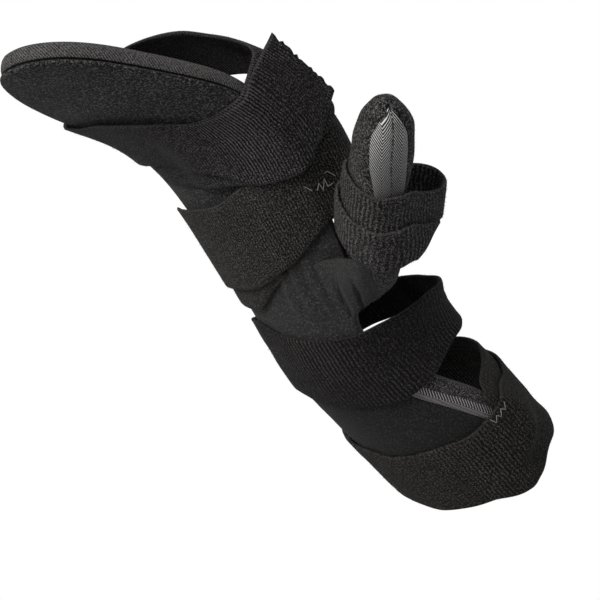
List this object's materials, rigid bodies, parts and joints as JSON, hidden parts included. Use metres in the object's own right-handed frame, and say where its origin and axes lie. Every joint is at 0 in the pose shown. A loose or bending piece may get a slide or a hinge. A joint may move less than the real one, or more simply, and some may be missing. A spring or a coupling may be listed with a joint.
{
  "type": "resting hand splint",
  "caption": "Worn resting hand splint: padded trough under forearm, palm and fingers, padded thumb stay, wrapped fabric straps and a thumb strap.",
  "frame": {"origin": "hand_seat: on the lining of the pad, on its middle line, at the wrist", "axes": "+Y along the forearm towards the fingertips, +Z out of the back of the hand, -X towards the thumb of a right hand"},
  "size_m": [0.1786, 0.2987, 0.0925],
  "materials": {
    "fleece": "matte brushed fleece",
    "loop_lining": "matte ribbed loop cloth",
    "strap_knit": "matte ribbed brushed knit",
    "edge_tape": "herringbone twill tape"
  },
  "bodies": {
    "root": {"splint_pad": "loop_lining", "outer_cover": "fleece", "forearm_tape": "edge_tape", "thumb_stay": "fleece", "thumb_tape": "edge_tape", "finger_strap": "strap_knit", "palm_strap": "strap_knit", "wrist_strap": "strap_knit", "forearm_strap": "strap_knit", "thumb_strap": "strap_knit"}
  },
  "joints": []
}
